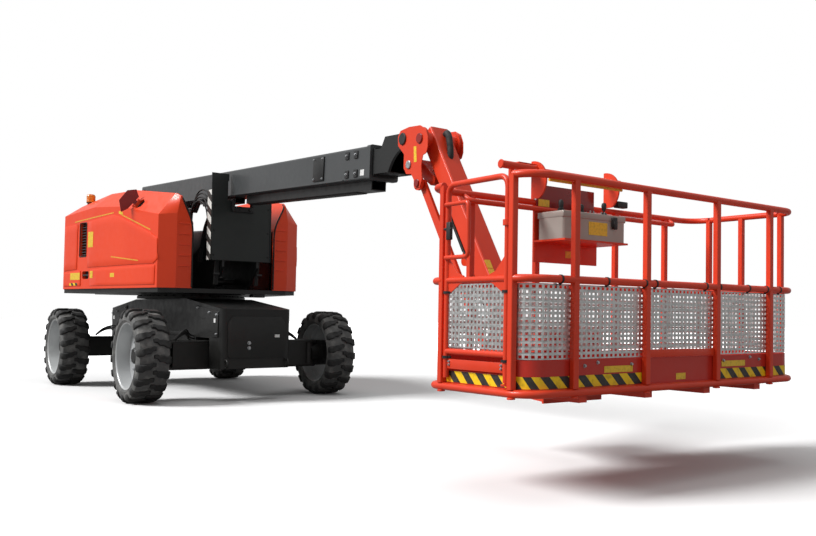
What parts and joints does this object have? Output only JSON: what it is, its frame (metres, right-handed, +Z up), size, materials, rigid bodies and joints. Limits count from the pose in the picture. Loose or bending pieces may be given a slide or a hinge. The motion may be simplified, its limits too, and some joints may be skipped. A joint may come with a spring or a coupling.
{
  "type": "articulating boom lift",
  "caption": "Self-propelled work platform: a two-part lifting tower, a telescopic boom and a jib on a slewing turntable carry a railed platform.",
  "frame": {"origin": "ground level, in the middle of the stored machine's length and width", "axes": "+X forward along the stowed boom, +Y to the machine's left, +Z up"},
  "size_m": [9.9976, 2.4909, 2.7239],
  "materials": {
    "red_paint": "gloss",
    "charcoal_paint": "satin",
    "silver_paint": "satin",
    "galvanised": "satin",
    "chrome": "polished",
    "tyre": "matte",
    "black_plastic": "matte",
    "amber": "gloss"
  },
  "bodies": {
    "chassis": {"chassis_frame": "charcoal_paint", "front_axle": "charcoal_paint", "rear_axle": "charcoal_paint", "slew_ring": "charcoal_paint", "steering_cylinder": "charcoal_paint"},
    "steering_bar": {"steering_rod": "chrome"},
    "left_knuckle": {"front_left_knuckle": "charcoal_paint"},
    "right_knuckle": {"front_right_knuckle": "charcoal_paint"},
    "front_left_wheel": {"front_left_rim": "silver_paint", "front_left_tyre": "tyre"},
    "front_right_wheel": {"front_right_rim": "silver_paint", "front_right_tyre": "tyre"},
    "rear_left_wheel": {"rear_left_rim": "silver_paint", "rear_left_tyre": "tyre"},
    "rear_right_wheel": {"rear_right_rim": "silver_paint", "rear_right_tyre": "tyre"},
    "turntable": {"turntable_frame": "charcoal_paint", "counterweight": "charcoal_paint", "engine": "charcoal_paint", "tanks": "charcoal_paint", "ground_controls": "charcoal_paint", "front_shield": "charcoal_paint"},
    "hood_right": {"right_hood": "red_paint", "beacon": "amber"},
    "hood_left": {"left_hood": "red_paint"},
    "lid": {"filler_lid": "charcoal_paint"},
    "tower_outer": {"tower_boom": "charcoal_paint"},
    "tower_inner": {"tower_fly": "charcoal_paint"},
    "tower_barrel": {"tower_ram_barrel": "charcoal_paint"},
    "tower_rod": {"tower_ram_rod": "chrome"},
    "upright_arm": {"upright": "charcoal_paint"},
    "lift_barrel": {"lift_ram_barrel": "charcoal_paint"},
    "lift_rod": {"lift_ram_rod": "chrome"},
    "boom_outer": {"main_boom": "charcoal_paint", "hose_tray": "black_plastic"},
    "boom_middle": {"mid_boom": "charcoal_paint"},
    "boom_inner": {"fly_boom": "charcoal_paint"},
    "jib_cheeks": {"jib_base": "charcoal_paint"},
    "jib": {"jib_boom": "red_paint"},
    "link": {"jib_link": "charcoal_paint"},
    "jib_barrel": {"jib_ram_barrel": "charcoal_paint"},
    "jib_rod": {"jib_ram_rod": "chrome"},
    "support": {"jib_support": "red_paint"},
    "platform": {"platform_floor": "galvanised", "platform_bracket": "red_paint", "front_railing": "red_paint", "back_railing": "red_paint", "left_railing": "red_paint", "toe_board": "galvanised", "mesh_sheets": "galvanised", "console": "galvanised", "console_tray": "red_paint", "console_guard": "red_paint"},
    "gate": {"side_gate": "red_paint"}
  },
  "joints": [
    {"name": "slew", "type": "hinge", "parent": "chassis", "child": "turntable", "pos_m": [-2.99885, 0, 1.16], "axis": [0, 0, 1], "continuous": true},
    {"name": "steer_left", "type": "hinge", "parent": "chassis", "child": "left_knuckle", "pos_m": [-1.49884, 0.86, 0.5], "axis": [0, 0, 1], "range_deg": [-35, 35]},
    {"name": "steer_right", "type": "hinge", "parent": "chassis", "child": "right_knuckle", "pos_m": [-1.49884, -0.86, 0.5], "axis": [0, 0, 1], "range_deg": [-35, 35]},
    {"name": "steering_travel", "type": "slide", "parent": "chassis", "child": "steering_bar", "axis": [0, 1, 0], "range_m": [-0.12, 0.12]},
    {"name": "front_left_spin", "type": "hinge", "parent": "left_knuckle", "child": "front_left_wheel", "pos_m": [-1.49884, 1.075, 0.5], "axis": [0, 1, 0], "continuous": true},
    {"name": "front_right_spin", "type": "hinge", "parent": "right_knuckle", "child": "front_right_wheel", "pos_m": [-1.49884, -1.075, 0.5], "axis": [0, 1, 0], "continuous": true},
    {"name": "rear_left_spin", "type": "hinge", "parent": "chassis", "child": "rear_left_wheel", "pos_m": [-4.49885, 1.075, 0.5], "axis": [0, 1, 0], "continuous": true},
    {"name": "rear_right_spin", "type": "hinge", "parent": "chassis", "child": "rear_right_wheel", "pos_m": [-4.49885, -1.075, 0.5], "axis": [0, 1, 0], "continuous": true},
    {"name": "right_hood_swing", "type": "hinge", "parent": "turntable", "child": "hood_right", "pos_m": [-2.99885, -0.456, 1.968], "axis": [-1, 0, 0], "range_deg": [0, 50]},
    {"name": "left_hood_swing", "type": "hinge", "parent": "turntable", "child": "hood_left", "pos_m": [-2.99885, 0.456, 1.968], "axis": [1, 0, 0], "range_deg": [0, 50]},
    {"name": "filler_lid_swing", "type": "hinge", "parent": "hood_right", "child": "lid", "pos_m": [-2.39885, -0.8975, 2.23244], "axis": [0, 0.6266, 0.7793], "range_deg": [0, 92]},
    {"name": "tower_lift", "type": "hinge", "parent": "turntable", "child": "tower_outer", "pos_m": [-1.81885, 0, 1.79], "axis": [0, 1, 0], "range_deg": [0, 72]},
    {"name": "tower_telescope", "type": "slide", "parent": "tower_outer", "child": "tower_inner", "axis": [-0.9991, 0, 0.0419], "range_m": [0, 1.75]},
    {"name": "upright_level", "type": "hinge", "parent": "tower_inner", "child": "upright_arm", "pos_m": [-4.49849, 0, 1.90231], "axis": [0, 1, 0], "range_deg": [-72, 0]},
    {"name": "tower_ram_swing", "type": "hinge", "parent": "turntable", "child": "tower_barrel", "pos_m": [-2.14885, 0, 1.34], "axis": [0, 1, 0], "range_deg": [0, 66.7]},
    {"name": "tower_ram_stroke", "type": "slide", "parent": "tower_barrel", "child": "tower_rod", "axis": [-0.9652, 0, 0.2615], "range_m": [0, 0.643]},
    {"name": "boom_lift", "type": "hinge", "parent": "upright_arm", "child": "boom_outer", "pos_m": [-4.49849, 0, 2.57031], "axis": [0, -1, 0], "range_deg": [0, 72]},
    {"name": "lift_ram_swing", "type": "hinge", "parent": "upright_arm", "child": "lift_barrel", "pos_m": [-4.36849, 0, 2.13031], "axis": [0, -1, 0], "range_deg": [0, 63.7]},
    {"name": "lift_ram_stroke", "type": "slide", "parent": "lift_barrel", "child": "lift_rod", "axis": [0.9896, 0, 0.1436], "range_m": [0, 0.497]},
    {"name": "middle_telescope", "type": "slide", "parent": "boom_outer", "child": "boom_middle", "axis": [0.9991, 0, -0.0419], "range_m": [0, 4.2]},
    {"name": "inner_telescope", "type": "slide", "parent": "boom_middle", "child": "boom_inner", "axis": [0.9991, 0, -0.0419], "range_m": [0, 4.2]},
    {"name": "cheek_level", "type": "hinge", "parent": "boom_inner", "child": "jib_cheeks", "pos_m": [2.1515, 0, 2.43072], "axis": [0, -1, 0], "range_deg": [-72, 0]},
    {"name": "jib_lift", "type": "hinge", "parent": "jib_cheeks", "child": "jib", "pos_m": [2.4015, 0, 2.40071], "axis": [0, -1, 0], "range_deg": [0, 125]},
    {"name": "link_swing", "type": "hinge", "parent": "jib_cheeks", "child": "link", "pos_m": [2.37149, 0, 2.04072], "axis": [0, -1, 0], "range_deg": [0, 125]},
    {"name": "jib_ram_swing", "type": "hinge", "parent": "jib_cheeks", "child": "jib_barrel", "pos_m": [2.43825, 0, 2.06687], "axis": [0, -1, 0], "range_deg": [0, 125.5]},
    {"name": "jib_ram_stroke", "type": "slide", "parent": "jib_barrel", "child": "jib_rod", "axis": [0.5446, 0, -0.8387], "range_m": [0, 0.597]},
    {"name": "support_level", "type": "hinge", "parent": "jib", "child": "support", "pos_m": [3.38185, 0, 0.89111], "axis": [0, -1, 0], "range_deg": [-125, 0]},
    {"name": "platform_swing", "type": "hinge", "parent": "support", "child": "platform", "pos_m": [3.72185, 0, 0.655], "axis": [0, 0, 1], "range_deg": [-90, 90]},
    {"name": "gate_swing", "type": "hinge", "parent": "platform", "child": "gate", "pos_m": [4.80384, -1.219, 1], "axis": [0, 0, -1], "range_deg": [0, 85]}
  ],
  "couplings": [
    {"joint": "steer_right", "follows": "steer_left", "ratio": 1},
    {"joint": "steering_travel", "follows": "steer_left", "m_per_rad": -0.165},
    {"joint": "upright_level", "follows": "tower_lift", "ratio": -1},
    {"joint": "tower_ram_swing", "follows": "tower_lift", "ratio": 0.92485},
    {"joint": "tower_ram_stroke", "follows": "tower_lift", "m_per_rad": 0.51081},
    {"joint": "cheek_level", "follows": "boom_lift", "ratio": -1},
    {"joint": "lift_ram_swing", "follows": "boom_lift", "ratio": 0.88309},
    {"joint": "lift_ram_stroke", "follows": "boom_lift", "m_per_rad": 0.3944},
    {"joint": "inner_telescope", "follows": "middle_telescope", "ratio": 1},
    {"joint": "link_swing", "follows": "jib_lift", "ratio": 1},
    {"joint": "support_level", "follows": "jib_lift", "ratio": -1},
    {"joint": "jib_ram_swing", "follows": "jib_lift", "ratio": 1.0027},
    {"joint": "jib_ram_stroke", "follows": "jib_lift", "m_per_rad": 0.27309}
  ]
}
